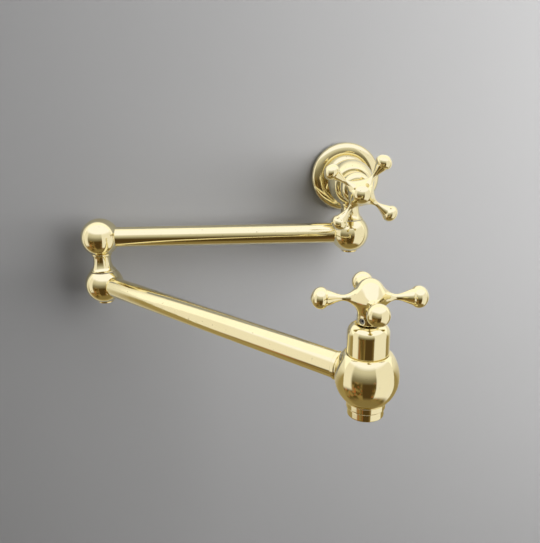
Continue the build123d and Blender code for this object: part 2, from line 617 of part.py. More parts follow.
# ---- assembly ----
VALVE_CENTRE = Pos(0, -WALL_TO_SWIVEL, 0)
WALL_VALVE = VALVE_CENTRE * Rot(X=90)
FROM_WALL = Rot(X=90)
WALL_BALL = Pos(0, -WALL_TO_SWIVEL, -SWIVEL_DROP)
ELBOW_BALL = WALL_BALL * Pos(-ARM_1_LENGTH, 0, 0)
ARM_2_BALL = ELBOW_BALL * Pos(0, 0, -ELBOW_DROP) * Rot(Z=-ARM_2_REST_ANGLE)
SPOUT_VALVE = ARM_2_BALL * Pos(ARM_2_LENGTH, 0, 0)

nodes = {
    "flange_gasket": FROM_WALL * flange_gasket(),
    "wall_flange": FROM_WALL * wall_flange(),
    "flange_o_ring": WALL_VALVE * o_ring(FLANGE_RING_SECTION, BACK_NECK_RADIUS + FLANGE_CLEARANCE,
                                         -WALL_TO_SWIVEL + FLANGE_RING_HEIGHT),
    "inlet_shank": FROM_WALL * inlet_shank(),
    "wall_valve_body": WALL_VALVE * wall_valve_body(),
    "wall_swivel_neck": WALL_BALL * swivel_neck(SWIVEL_DROP - BULB_FLAT),
    "wall_swivel_o_rings": WALL_BALL * swivel_rings(),
    "wall_swivel_clip": WALL_BALL * swivel_clip(),
    "wall_ball": WALL_BALL * Rot(Z=180) * swivel_ball(),
    "wall_swivel_washer": WALL_BALL * swivel_washer(),
    "wall_ball_cap": WALL_BALL * ball_cap(),
    "upper_arm_tube": WALL_BALL * Rot(Z=180) * arm_tube(TUBE_SOCKET, ARM_1_LENGTH - TUBE_SOCKET),
    "elbow_ball": ELBOW_BALL * elbow_ball(),
    "elbow_neck": ARM_2_BALL * swivel_neck(ELBOW_DROP - ELBOW_BALL_FLAT),
    "elbow_o_rings": ARM_2_BALL * swivel_rings(),
    "elbow_clip": ARM_2_BALL * swivel_clip(),
    "lower_elbow_ball": ARM_2_BALL * swivel_ball(),
    "elbow_washer": ARM_2_BALL * swivel_washer(),
    "elbow_ball_cap": ARM_2_BALL * ball_cap(),
    "lower_arm_tube": ARM_2_BALL * arm_tube(TUBE_SOCKET, ARM_2_LENGTH - SPOUT_SOCKET),
    "tube_collar": SPOUT_VALVE * tube_collar(),
    "spout_valve_body": SPOUT_VALVE * spout_valve_body(),
    "aerator_shell": SPOUT_VALVE * aerator_shell(),
    "aerator_insert": SPOUT_VALVE * aerator_insert(),
    "aerator_washer": SPOUT_VALVE * aerator_washer(),
}

valves = (
    ("wall", WALL_VALVE, HANDLE_1_ANGLE),
    ("spout", SPOUT_VALVE, HANDLE_2_ANGLE + ARM_2_REST_ANGLE),
)
for side, place, handle_angle in valves:
    turning = place * Rot(Z=handle_angle)
    handle = turning * Pos(0, 0, HANDLE_PLANE)
    nodes[side + "_bonnet_sleeve"] = place * bonnet_sleeve()
    nodes[side + "_cartridge_housing"] = place * cartridge_housing()
    nodes[side + "_seat_seal"] = place * seat_seal()
    nodes[side + "_fixed_disc"] = turning * fixed_disc()
    nodes[side + "_moving_disc"] = turning * moving_disc()
    nodes[side + "_spindle"] = turning * spindle()
    nodes[side + "_spindle_o_ring"] = turning * o_ring(SPINDLE_RING_SECTION, SPINDLE_RADIUS, SPINDLE_RING_HEIGHT)
    nodes[side + "_cross_handle"] = handle * cross_handle()
    nodes[side + "_set_screw"] = handle * set_screw()

os.makedirs("parts", exist_ok=True)
for name, shape in nodes.items():
    export_step(shape, os.path.join("parts", name + ".step"))
    print(name, round(shape.volume, 1))
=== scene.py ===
import json
import math

import bmesh
import bpy
from mathutils import Matrix, Vector
from mathutils.geometry import interpolate_bezier


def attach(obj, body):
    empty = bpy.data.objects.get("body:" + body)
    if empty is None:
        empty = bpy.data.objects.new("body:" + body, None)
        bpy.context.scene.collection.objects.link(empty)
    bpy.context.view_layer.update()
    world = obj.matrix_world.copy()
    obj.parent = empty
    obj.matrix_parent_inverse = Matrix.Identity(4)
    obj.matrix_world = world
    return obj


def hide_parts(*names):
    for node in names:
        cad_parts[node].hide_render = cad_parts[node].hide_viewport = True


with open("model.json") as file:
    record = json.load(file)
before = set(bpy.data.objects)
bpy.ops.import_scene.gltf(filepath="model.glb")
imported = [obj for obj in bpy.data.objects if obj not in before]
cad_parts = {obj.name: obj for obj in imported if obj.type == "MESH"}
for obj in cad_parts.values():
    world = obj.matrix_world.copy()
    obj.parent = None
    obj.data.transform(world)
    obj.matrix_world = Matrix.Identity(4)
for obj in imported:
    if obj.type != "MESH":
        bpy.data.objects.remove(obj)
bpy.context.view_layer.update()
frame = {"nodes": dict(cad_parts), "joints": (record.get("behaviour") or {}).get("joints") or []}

# ---- camera and room ----
# The tap is seen from in front and a little above, against a plain painted wall lit from the right.
# The wall is one-sided, so that the back of the flange and the inlet show from behind it.
scene = bpy.context.scene
scene.view_settings.view_transform = "Standard"
lens = bpy.data.cameras.new("camera")
lens.sensor_width = 36.0
lens.lens = 40.69
camera_at = (-0.09416, -0.60331, 0.09479)
turned_right, tipped_down, rolled = 0.032, 0.308, 0.012
camera = bpy.data.objects.new("camera", lens)
camera.matrix_world = (
    Matrix.Translation(camera_at)
    @ Matrix.Rotation(-turned_right, 4, "Z")
    @ Matrix.Rotation(math.pi / 2 - tipped_down, 4, "X")
    @ Matrix.Rotation(-rolled, 4, "Z")
)
scene.collection.objects.link(camera)
scene.camera = camera


class Wire:
    """One socket of a finish, on which arithmetic adds Math nodes."""

    def __init__(self, finish, socket):
        self.finish, self.socket = finish, socket

    def maths(self, operation, *terms):
        return self.finish.add("ShaderNodeMath", {"operation": operation}, dict(enumerate(terms)))

    def __add__(self, other):
        return self.maths("ADD", self, other)

    def __radd__(self, other):
        return self.maths("ADD", other, self)

    def __sub__(self, other):
        return self.maths("SUBTRACT", self, other)

    def __rsub__(self, other):
        return self.maths("SUBTRACT", other, self)

    def __mul__(self, other):
        return self.maths("MULTIPLY", self, other)

    def __rmul__(self, other):
        return self.maths("MULTIPLY", other, self)

    def __truediv__(self, other):
        return self.maths("DIVIDE", self, other)

    def __rtruediv__(self, other):
        return self.maths("DIVIDE", other, self)


class Finish:
    """The nodes of a material or a world: all but the Math nodes come from add()."""

    def __init__(self, holder):
        self.holder = holder
        holder.use_nodes = True
        self.tree = holder.node_tree
        self.tree.nodes.clear()

    def add(self, kind, settings, inputs, output=0):
        node = self.tree.nodes.new(kind)
        for key, value in settings.items():
            setattr(node, key, value)
        for key, value in inputs.items():
            if isinstance(value, Wire):
                self.tree.links.new(value.socket, node.inputs[key])
            else:
                node.inputs[key].default_value = value
        return Wire(self, node.outputs[output]) if node.outputs else None

    def place(self, centre=(0, 0, 0), stretch=(1, 1, 1)):
        """Object coordinates, moved and stretched."""
        spot = self.add("ShaderNodeTexCoord", {}, {}, "Object")
        return self.add("ShaderNodeMapping", {"vector_type": "TEXTURE"},
                        {"Vector": spot, "Location": centre, "Scale": stretch})

    def noise(self, vector, scale, detail=2.0):
        return self.add("ShaderNodeTexNoise", {}, {"Vector": vector, "Scale": scale, "Detail": detail})

    def ramp(self, value, low, high):
        """0 below one value and 1 above the other, smooth between them."""
        return self.add("ShaderNodeMapRange", {"interpolation_type": "SMOOTHSTEP"},
                        {"Value": value, "From Min": low, "From Max": high, "To Min": 0.0, "To Max": 1.0})

    def blend(self, share, first, second):
        """Mix of two colours."""
        return self.add("ShaderNodeMix", {"data_type": "RGBA"}, {0: share, 6: first, 7: second}, 2)

    def either(self, share, first, second):
        """Mix of two shaders."""
        return self.add("ShaderNodeMixShader", {}, {0: share, 1: first, 2: second})

    def bump(self, height, distance, strength=1.0):
        return self.add("ShaderNodeBump", {},
                        {"Height": height, "Distance": distance, "Strength": strength})

    def done(self, **inputs):
        """Close the finish with one surface shader."""
        named = {key.replace("_", " "): value for key, value in inputs.items()}
        shader = self.add("ShaderNodeBsdfPrincipled", {}, named)
        self.add("ShaderNodeOutputMaterial", {}, {"Surface": shader})
        return self.holder


# The sheet shows the painted wall as it is lit. Where polished metal mirrors it away from the tap, it
# glows instead with a painted reflection of a brighter wall.
wall = Finish(bpy.data.materials.new("painted_wall"))
spot = wall.place()
grain = wall.noise(spot, 900.0, 3.0)
wall_colour = wall.blend(wall.noise(spot, 3.0), (0.388, 0.386, 0.386, 1), (0.416, 0.414, 0.415, 1))
paint = wall.add("ShaderNodeBsdfPrincipled", {}, {
    "Base Color": wall_colour, "Roughness": 0.75, "Normal": wall.bump(grain, 0.00005)})
from_tap = wall.add("ShaderNodeVectorMath", {"operation": "LENGTH"},
                    {0: wall.place(centre=(-0.14, 0, -0.07), stretch=(0.20, 1, 0.13))}, "Value")
rise = wall.add("ShaderNodeSeparateXYZ", {}, {0: spot}, "Z")
# Painted reflection: a glow that only glossy rays see, gold-brown low down, cream higher and white at the
# top.
painted_wall_reflection = wall.blend(wall.ramp(rise, -0.35, -0.05), (0.34, 0.27, 0.12, 1), (0.88, 0.86, 0.80, 1))
painted_wall_reflection = wall.blend(wall.ramp(rise, 0.02, 0.12), painted_wall_reflection, (1.20, 1.20, 1.18, 1))
# Away from the tap, glossy rays see the painted reflection instead of the lit paint.
painted_reflection_share = wall.add("ShaderNodeLightPath", {}, {}, "Is Glossy Ray") * wall.ramp(from_tap, 1.0, 1.3)
front = wall.either(painted_reflection_share, paint, wall.add("ShaderNodeEmission", {}, {0: painted_wall_reflection}))
behind = wall.add("ShaderNodeNewGeometry", {}, {}, "Backfacing")
one_sided = wall.either(behind, front, wall.add("ShaderNodeBsdfTransparent", {}, {}))
wall.add("ShaderNodeOutputMaterial", {}, {"Surface": one_sided})

ground = Finish(bpy.data.materials.new("pale_floor"))
ground_colour = ground.blend(ground.noise(ground.place(), 4.0), (0.60, 0.59, 0.57, 1), (0.64, 0.63, 0.61, 1))
ground_material = ground.done(Base_Color=ground_colour, Roughness=0.8)

# Each sheet has its place, half its width and half its height. The wall lies 0.1 mm behind the wall
# face, which the gasket touches, and the floor is left out of what the metal mirrors.
OUT_OF_WALL = Matrix.Rotation(math.pi / 2, 4, "X")
sheets = (
    ("wall_sheet", wall.holder, Matrix.Translation((0, 0.0001, 0.25)) @ OUT_OF_WALL, 2.4, 1.15),
    ("floor_sheet", ground_material, Matrix.Translation((0, 0, -0.9)), 1.2, 1.2),
)
for name, material, at, half_wide, half_high in sheets:
    bm = bmesh.new()
    bmesh.ops.create_grid(bm, x_segments=1, y_segments=1, size=1.0,
                          matrix=at @ Matrix.Diagonal((half_wide, half_high, 1, 1)))
    mesh = bpy.data.meshes.new(name)
    bm.to_mesh(mesh)
    bm.free()
    sheet = bpy.data.objects.new(name, mesh)
    mesh.materials.append(material)
    scene.collection.objects.link(sheet)
    sheet.visible_glossy = name != "floor_sheet"

# What polished metal mirrors: a bright ceiling, a wide window to the right and a narrower one to the
# left, a pale far wall, and below eye level the dark brown of furniture with a darker cupboard.
room = Finish(bpy.data.worlds.new("room"))
scene.world = room.holder
toward = room.add("ShaderNodeTexCoord", {}, {}, "Generated")
across, depth, height = (room.add("ShaderNodeSeparateXYZ", {}, {0: toward}, axis) for axis in "XYZ")
level = across * across + depth * depth
side = across / (level.maths("SQRT", level) + 0.001)
clutter = room.noise(toward, 5.0, 4.0)
furniture = room.blend(room.ramp(clutter, 0.40, 0.60), (0.09, 0.06, 0.018, 1), (0.30, 0.22, 0.085, 1))
furniture = room.blend(room.ramp(room.noise(toward, 9.0, 1.0), 0.60, 0.66), furniture, (0.42, 0.14, 0.05, 1))
cupboard = room.ramp(side + clutter * 0.3, -0.30, -0.22) * (1.0 - room.ramp(side, 0.16, 0.22))
cupboard = cupboard * room.ramp(height, -0.97, -0.85)
furniture = room.blend(cupboard, furniture, (0.08, 0.05, 0.018, 1))
low_half = room.blend(1.0 - room.ramp(height, -0.97, -0.78), furniture, (0.24, 0.185, 0.08, 1))
pale = room.blend(room.ramp(height, -0.12, 0.42), (0.20, 0.175, 0.11, 1), (0.68, 0.66, 0.58, 1))
seen = room.blend(1.0 - room.ramp(height, -0.24, -0.08), pale, low_half)
right_window = room.ramp(side, 0.36, 0.41) * room.ramp(height, -0.86, -0.74)
seen = room.blend(right_window, seen, (0.93, 0.91, 0.88, 1))
left_window = (1.0 - room.ramp(side, -0.93, -0.86)) * room.ramp(height, -0.62, -0.45)
seen = room.blend(left_window, seen, (0.93, 0.90, 0.85, 1))
seen = room.blend(room.ramp(height, 0.40, 0.62), seen, (1.14, 1.16, 1.34, 1))
shown = room.blend(room.add("ShaderNodeLightPath", {}, {}, "Is Glossy Ray"), (0.022, 0.022, 0.023, 1), seen)
shown = room.blend(room.add("ShaderNodeLightPath", {}, {}, "Is Camera Ray"), shown, (0.58, 0.58, 0.57, 1))
room.add("ShaderNodeOutputWorld", {}, {"Surface": room.add("ShaderNodeBackground", {}, {"Color": shown})})

# The light of the right window and a weak fill, each with its place, its aim, its width and its watts.
panels = (
    ("window", (0.78, -0.66, 0.36), (0.22, 0, 0.18), 1.0, 23.0),
    ("fill", (0.1, -1.7, 0.9), (0.0, -0.1, 0.1), 1.6, 2.0),
)
for name, at, aim, wide, power in panels:
    lamp = bpy.data.lights.new(name, "AREA")
    lamp.shape = "SQUARE"
    lamp.size = wide
    lamp.energy = power
    lamp_object = bpy.data.objects.new(name, lamp)
    lamp_object.location = at
    lamp_object.rotation_mode = "QUATERNION"
    lamp_object.rotation_quaternion = (Vector(aim) - Vector(at)).to_track_quat("-Z", "Y")
    lamp_object.visible_camera = False
    lamp_object.visible_glossy = False
    scene.collection.objects.link(lamp_object)

# ---- wall flange ----
# A spun brass rose: a rounded outer band, a crease, and a cone that rises to the inlet. It slides
# over the valve's back neck and is pressed against the wall.
brass = Finish(bpy.data.materials.new("polished_brass"))
spot = brass.place()
tint = brass.blend(brass.noise(spot, 30.0), (0.92, 0.83, 0.53, 1), (0.88, 0.785, 0.47, 1))
freckle = brass.ramp(brass.noise(spot, 420.0), 0.70, 0.76)
tint = brass.blend(freckle * 0.5, tint, (0.42, 0.30, 0.14, 1))
haze = brass.ramp(brass.noise(spot, 160.0, 4.0), 0.45, 0.75)
rub = brass.noise(brass.place(stretch=(0.2, 1, 1)), 2600.0)
waves = brass.noise(spot, 90.0, 1.0) * 0.9 + rub * 0.02
brass_material = brass.done(Base_Color=tint, Metallic=1.0, Roughness=haze * 0.05 + freckle * 0.15 + 0.07,
                            Normal=brass.bump(waves, 0.0002, 0.25))

MILLIMETRES = Matrix.Scale(0.001, 4)
from_wall = OUT_OF_WALL @ MILLIMETRES
SHARP_FROM = math.radians(32)
LONG_EDGE, HOLD = 1.6, 0.3


def bend(start, first, second, end, steps):
    """Points of a curved stretch of an outline, in (radius, height)."""
    knots = [Vector((*point, 0)) for point in (start, first, second, end)]
    return [(point.x, point.y) for point in interpolate_bezier(*knots, steps + 1)]


def arc(across, up, start, end, steps, centre=(0, 0)):
    """Points of an oval arc between two angles in degrees, 0 being straight out and 90 up."""
    turns = [math.radians(start + (end - start) * step / steps) for step in range(steps + 1)]
    return [(centre[0] + across * math.cos(turn), centre[1] + up * math.sin(turn)) for turn in turns]


def finished(bm, node, place, body, material=brass_material):
    """Close a bmesh into a piece that rides on its body and stands for one CAD node."""
    bmesh.ops.remove_doubles(bm, verts=bm.verts, dist=0.0001)
    bmesh.ops.recalc_face_normals(bm, faces=bm.faces)
    bmesh.ops.transform(bm, matrix=place, verts=bm.verts)
    mesh = bpy.data.meshes.new(node + "_piece")
    bm.to_mesh(mesh)
    bm.free()
    mesh.shade_smooth()
    mesh.set_sharp_from_angle(angle=SHARP_FROM)
    mesh.materials.append(material)
    piece = bpy.data.objects.new(node + "_piece", mesh)
    scene.collection.objects.link(piece)
    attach(piece, body)
    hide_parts(node)
    return piece


def lathe(outline, steps=128):
    """A bmesh turned about +Z from (radius, height) points in mm; a third number rounds that corner.
    Long stretches get a cut near either end, which keeps the smooth shading flat between them."""
    bm = bmesh.new()
    points = [bm.verts.new((radius, 0, height)) for radius, height, *_ in outline]
    for first, second in zip(points, points[1:]):
        bm.edges.new((first, second))
    if outline[0][0] or outline[-1][0]:
        bm.edges.new((points[-1], points[0]))
    for point, (_, _, *rounding) in zip(points, outline):
        if rounding:
            bmesh.ops.bevel(bm, geom=[point], offset=rounding[0], offset_type="OFFSET", segments=4,
                            profile=0.5, affect="VERTICES", material=-1)
    for edge in [edge for edge in bm.edges if edge.calc_length() > LONG_EDGE]:
        for end in edge.verts[:]:
            bmesh.utils.edge_split(edge, end, HOLD / edge.calc_length())
    bmesh.ops.spin(bm, geom=bm.verts[:] + bm.edges[:], axis=(0, 0, 1), cent=(0, 0, 0),
                   angle=math.tau, steps=steps, use_merge=True)
    return bm


rim, crest, crease, cone_top = (33.1, 3.4), (24.4, 9.25), (21.6, 8.3), (14.75, 15.2)
neck_bore, cone_bore = 13.5, 14.7
finished(lathe([
    (neck_bore, 16.0, 0.25), (14.7, 16.0, 0.35),
    *bend(cone_top, (15.3, 11.6), (17.6, 9.2), crease, 20)[:-1],
    *bend(crease, (22.3, 9.1), (23.4, 9.3), crest, 8)[:-1],
    *bend(crest, (29.6, 9.1), (33.1, 6.9), rim, 24),
    (33.1, 1.0, 0.3), (31.3, 1.0), (31.3, 3.6), (27.5, 7.4), (24.1, 6.3), (18.0, 7.4),
    (cone_bore, 12.5), (cone_bore, 1.0), (neck_bore, 1.0),
]), "wall_flange", from_wall, "wall_valve")

# ---- flange gasket and O-ring ----
# A black closed-cell foam ring seals the flange to the wall, and a rubber O-ring grips it to the
# back neck. Both keep their CAD shapes.
rubber = Finish(bpy.data.materials.new("black_rubber"))
spot = rubber.place()
pores = rubber.noise(spot, 1500.0, 3.0)
dust = rubber.ramp(rubber.noise(spot, 60.0, 3.0), 0.4, 0.7)
rubber_colour = rubber.blend(dust, (0.018, 0.018, 0.018, 1), (0.035, 0.034, 0.032, 1))
rubber_material = rubber.done(Base_Color=rubber_colour, Roughness=dust * 0.2 + 0.55,
                              Normal=rubber.bump(pores, 0.0001, 0.5))


def coat(material, *names):
    """Give CAD nodes that keep their shape their finish."""
    for name in names:
        node = frame["nodes"][name]
        node.data.materials.clear()
        node.data.materials.append(material)


coat(rubber_material, "flange_gasket", "flange_o_ring")

# ---- inlet shank ----
# The brass half-inch stub behind the wall face, with a cut thread, a chamfered lead and its bore.
# It screws into the back neck of the wall valve.
cut_brass = Finish(bpy.data.materials.new("machined_brass"))
swirl = cut_brass.noise(cut_brass.place(stretch=(1, 0.08, 1)), 3000.0)
stain = cut_brass.noise(cut_brass.place(), 120.0, 3.0)
cut_colour = cut_brass.blend(stain, (0.78, 0.60, 0.30, 1), (0.70, 0.52, 0.24, 1))
cut_material = cut_brass.done(Base_Color=cut_colour, Metallic=1.0, Roughness=swirl * 0.2 + 0.22,
                              Normal=cut_brass.bump(swirl, 0.00004, 0.6))

pitch, thread_turns, turn_steps = 1.814, 12, 48
root, flat_crest, shank_bore = 9.32, 10.4, 6.5
shank = bmesh.new()
tooth_points = ((root, 0), (root, 0.15), (flat_crest, 0.8), (flat_crest, 1.0), (root, pitch))
tooth = [shank.verts.new((radius, 0, height)) for radius, height in tooth_points]
tooth_edges = [shank.edges.new(pair) for pair in zip(tooth, tooth[1:])]
bmesh.ops.spin(shank, geom=tooth + tooth_edges, axis=(0, 0, 1), cent=(0, 0, 0),
               dvec=(0, 0, pitch / turn_steps), angle=math.tau * thread_turns,
               steps=turn_steps * thread_turns)
bmesh.ops.remove_doubles(shank, verts=shank.verts, dist=0.001)
bmesh.ops.translate(shank, vec=(0, 0, -thread_turns * pitch + 1.5), verts=shank.verts)

# The thread is cut off at both ends, which are drawn in to the bore and joined through it.
shank_ends = (
    (-17.2, -1, ((8.9, -18.0), (shank_bore, -18.0), (shank_bore, -9.0))),
    (0.4, 1, ((shank_bore, 0.4), (shank_bore, -8.0))),
)
bore_rims = []
for cut_at, facing, steps in shank_ends:
    whole = shank.verts[:] + shank.edges[:] + shank.faces[:]
    cut = bmesh.ops.bisect_plane(shank, geom=whole, dist=0.0001, plane_co=(0, 0, cut_at),
                                 plane_no=(0, 0, facing), clear_outer=True)
    ring = [item for item in cut["geom_cut"] if isinstance(item, bmesh.types.BMEdge)]
    for radius, height in steps:
        grown = bmesh.ops.extrude_edge_only(shank, edges=ring)["geom"]
        ring = [item for item in grown if isinstance(item, bmesh.types.BMEdge)]
        for vert in {vert for edge in ring for vert in edge.verts}:
            flat = vert.co.xy.normalized() * radius
            vert.co = (flat.x, flat.y, height)
    bore_rims += ring
bmesh.ops.bridge_loops(shank, edges=bore_rims)
finished(shank, "inlet_shank", from_wall, "wall_valve", cut_material)

# ---- wall valve body ----
# A polished brass bulb whose axis stands out from the wall, with a back neck through the flange and
# a flat underneath against which the swivel neck is screwed.
joint_at = {joint["name"]: Vector(joint["pos_m"]) for joint in frame["joints"]}
handle_plane = 0.0546
bulb_centre = joint_at["wall_handle_turn"] + Vector((0, handle_plane, 0))
wall_valve = Matrix.Translation(bulb_centre) @ OUT_OF_WALL @ MILLIMETRES
bulb_seat, bulb_radius, bulb_rise = 16.5, 21.3, 24.5
flat_below, waterway, inlet_bore, neck_radius = 19.0, 6.0, 9.85, 13.2
shoulder_from = math.degrees(math.asin(bulb_seat / bulb_rise)) - 6
bulb_shoulder = [
    (10.55, bulb_seat), (15.75, bulb_seat, 1.3), *arc(bulb_radius, bulb_rise, shoulder_from, 0, 22)[:-1],
]
cartridge_bore = [(waterway, -7.0), (8.9, -7.0), (8.9, 9.0), (10.55, 9.0)]
bulb = lathe([
    *bulb_shoulder, *arc(bulb_radius, 25.6, 0, -51.7, 28),
    (neck_radius, -20.4), (neck_radius, -37.6, 0.4), (inlet_bore, -37.6), (inlet_bore, -25.5),
    (waterway, -25.5), *cartridge_bore,
])
whole = bulb.verts[:] + bulb.edges[:] + bulb.faces[:]
underside = bmesh.ops.bisect_plane(bulb, geom=whole, dist=0.0001, plane_co=(0, -flat_below, 0),
                                   plane_no=(0, -1, 0), clear_outer=True)
ring = [item for item in underside["geom_cut"] if isinstance(item, bmesh.types.BMEdge)]
bmesh.ops.holes_fill(bulb, edges=ring)
finished(bulb, "wall_valve_body", wall_valve, "wall_valve")

# ---- bonnet sleeves ----
# A polished cover with a rounded shoulder screws down over each cartridge and hides its hexagon.
# The shadow line at its foot is the edge broken on the lathe.
elbow = joint_at["elbow_swivel"]
spout_axis = joint_at["spout_handle_turn"]
arm_turn = Matrix.Rotation(math.atan2(spout_axis.y - elbow.y, spout_axis.x - elbow.x), 4, "Z")
spout_valve = Matrix.Translation(spout_axis - Vector((0, 0, handle_plane))) @ arm_turn @ MILLIMETRES
foot, thread_bore, hexagon_room, spindle_hole = bulb_seat + 0.4, 12.4, 8.45, 4.3
sleeve_outline = [
    (thread_bore, bulb_seat), (13.1, bulb_seat), (13.1, foot), (13.9, foot, 0.12),
    *arc(5.4, 6.2, 0, 90, 16, (8.5, 30.5)), (spindle_hole, 36.7, 0.3), (spindle_hole, 31.6),
    (hexagon_room, 31.6), (hexagon_room, 26.0), (thread_bore, 26.0),
]
finished(lathe(sleeve_outline), "wall_bonnet_sleeve", wall_valve, "wall_valve")
finished(lathe(sleeve_outline), "spout_bonnet_sleeve", spout_valve, "lower_arm")

# ---- ceramic cartridges ----
# Quarter-turn cartridges inside both valves: brass housings and spindles, lapped ceramic discs and
# rubber seals. They keep their CAD shapes, which only show when the sleeves are off.
ceramic = Finish(bpy.data.materials.new("ceramic"))
speck = ceramic.noise(ceramic.place(), 1200.0, 3.0)
ceramic_colour = ceramic.blend(speck, (0.76, 0.75, 0.72, 1), (0.70, 0.69, 0.67, 1))
ceramic_material = ceramic.done(Base_Color=ceramic_colour, Roughness=speck * 0.1 + 0.25,
                                Normal=ceramic.bump(speck, 0.00001, 0.3))
for valve in ("wall", "spout"):
    coat(cut_material, valve + "_cartridge_housing", valve + "_spindle")
    coat(ceramic_material, valve + "_fixed_disc", valve + "_moving_disc")
    coat(rubber_material, valve + "_seat_seal", valve + "_spindle_o_ring")

# ---- cross handles ----
# One casting: a domed hub on a round neck and four waisted arms that swell into ball ends, with the
# webs between them blended by the mould. A set screw in the neck holds it on the spindle.
steel = Finish(bpy.data.materials.new("stainless_steel"))
brushing = steel.noise(steel.place(stretch=(1, 1, 0.1)), 2400.0)
steel_colour = steel.blend(steel.noise(steel.place(), 300.0), (0.30, 0.295, 0.29, 1), (0.24, 0.235, 0.23, 1))
steel_material = steel.done(Base_Color=steel_colour, Metallic=1.0, Roughness=brushing * 0.15 + 0.28,
                            Normal=steel.bump(brushing, 0.00002, 0.5))

# The hub is a turned grid of rows, in (height, radius), and columns. The arms and the screw hole
# grow out of patches of four of its faces, in (reach, radius) and (radius, depth).
COLUMNS = 16
NECK = 7.9
HUB_ROWS = [
    (-4.5, 0.0), (-4.5, 3.5), (-5.2, 4.05), (-16.3, 4.05), (-17.0, 4.4), (-17.0, 7.0), (-16.95, 7.6),
    (-16.5, NECK), (-14.2, NECK), (-11.9, NECK), (-9.6, 7.95), (-4.9, 9.4), (0.0, 11.4), (4.9, 9.5),
    (8.3, 7.7), (10.6, 5.7), (12.1, 3.1), (12.6, 1.2), (12.7, 0.0),
]
SCREW_ROW, LOW_ROW, MIDDLE_ROW, HIGH_ROW = 8, 11, 12, 13
SCREW_COLUMN = 10
WEBS = ((LOW_ROW, 9.6), (MIDDLE_ROW, 11.6), (HIGH_ROW, 9.6))
SCREW_HOLE = ((2.15, 0.0), (2.0, 0.1), (1.98, 0.5), (1.98, 3.3))
SCREW_HOLE_SKIN = 7.95
ARM_FOOT, ARM_FOOT_GIRTH = 9.2, 6.9
ARM_RINGS = [
    (11.0, 4.7), (13.0, 3.15), (15.2, 2.25), (17.2, 1.95), (19.4, 2.35), (21.6, 3.1), (24.0, 4.1),
    (26.2, 4.95), (27.2, 5.4), (28.0, 6.1), (29.2, 6.85), (31.0, 7.2), (33.0, 6.85), (34.9, 5.7), (36.3, 3.9),
]
TIP_END = 37.5

# Subdivision draws a ring of 16 or 8 corners in to these shares of its radius, and the middle of a
# patch to 4/9 of its height over the patch's edge.
COLUMNS_DRAWN_IN, OCTAGON_DRAWN_IN, MIDDLE_SHARE = 0.9746, 0.9024, 4 / 9
OCTAGON = [(math.cos(math.tau * corner / 8), math.sin(math.tau * corner / 8)) for corner in range(8)]
RING_ORDER = [(0, 1), (1, 1), (1, 0), (1, -1), (0, -1), (-1, -1), (-1, 0), (-1, 1)]
PATCH_CENTRE = 8


def held(points):
    """Control points whose subdivided surface passes close to the points given."""
    padded = [points[0], *points, points[-1]]
    threes = zip(padded, padded[1:], padded[2:])
    return [tuple(b - (a - 2 * b + c) / 6 for a, b, c in zip(*three)) for three in threes]


def grow(bm, faces, corner_tag, spots):
    """Extrude a patch of four faces and put its tagged vertices at eight ring spots and a centre."""
    edges = {edge for face in faces for edge in face.edges}
    verts = {vert for face in faces for vert in face.verts}
    grown = bmesh.ops.extrude_face_region(bm, geom=[*faces, *edges, *verts])["geom"]
    for item in grown:
        if isinstance(item, bmesh.types.BMVert):
            item.co = spots[item[corner_tag]]
    return [item for item in grown if isinstance(item, bmesh.types.BMFace)]


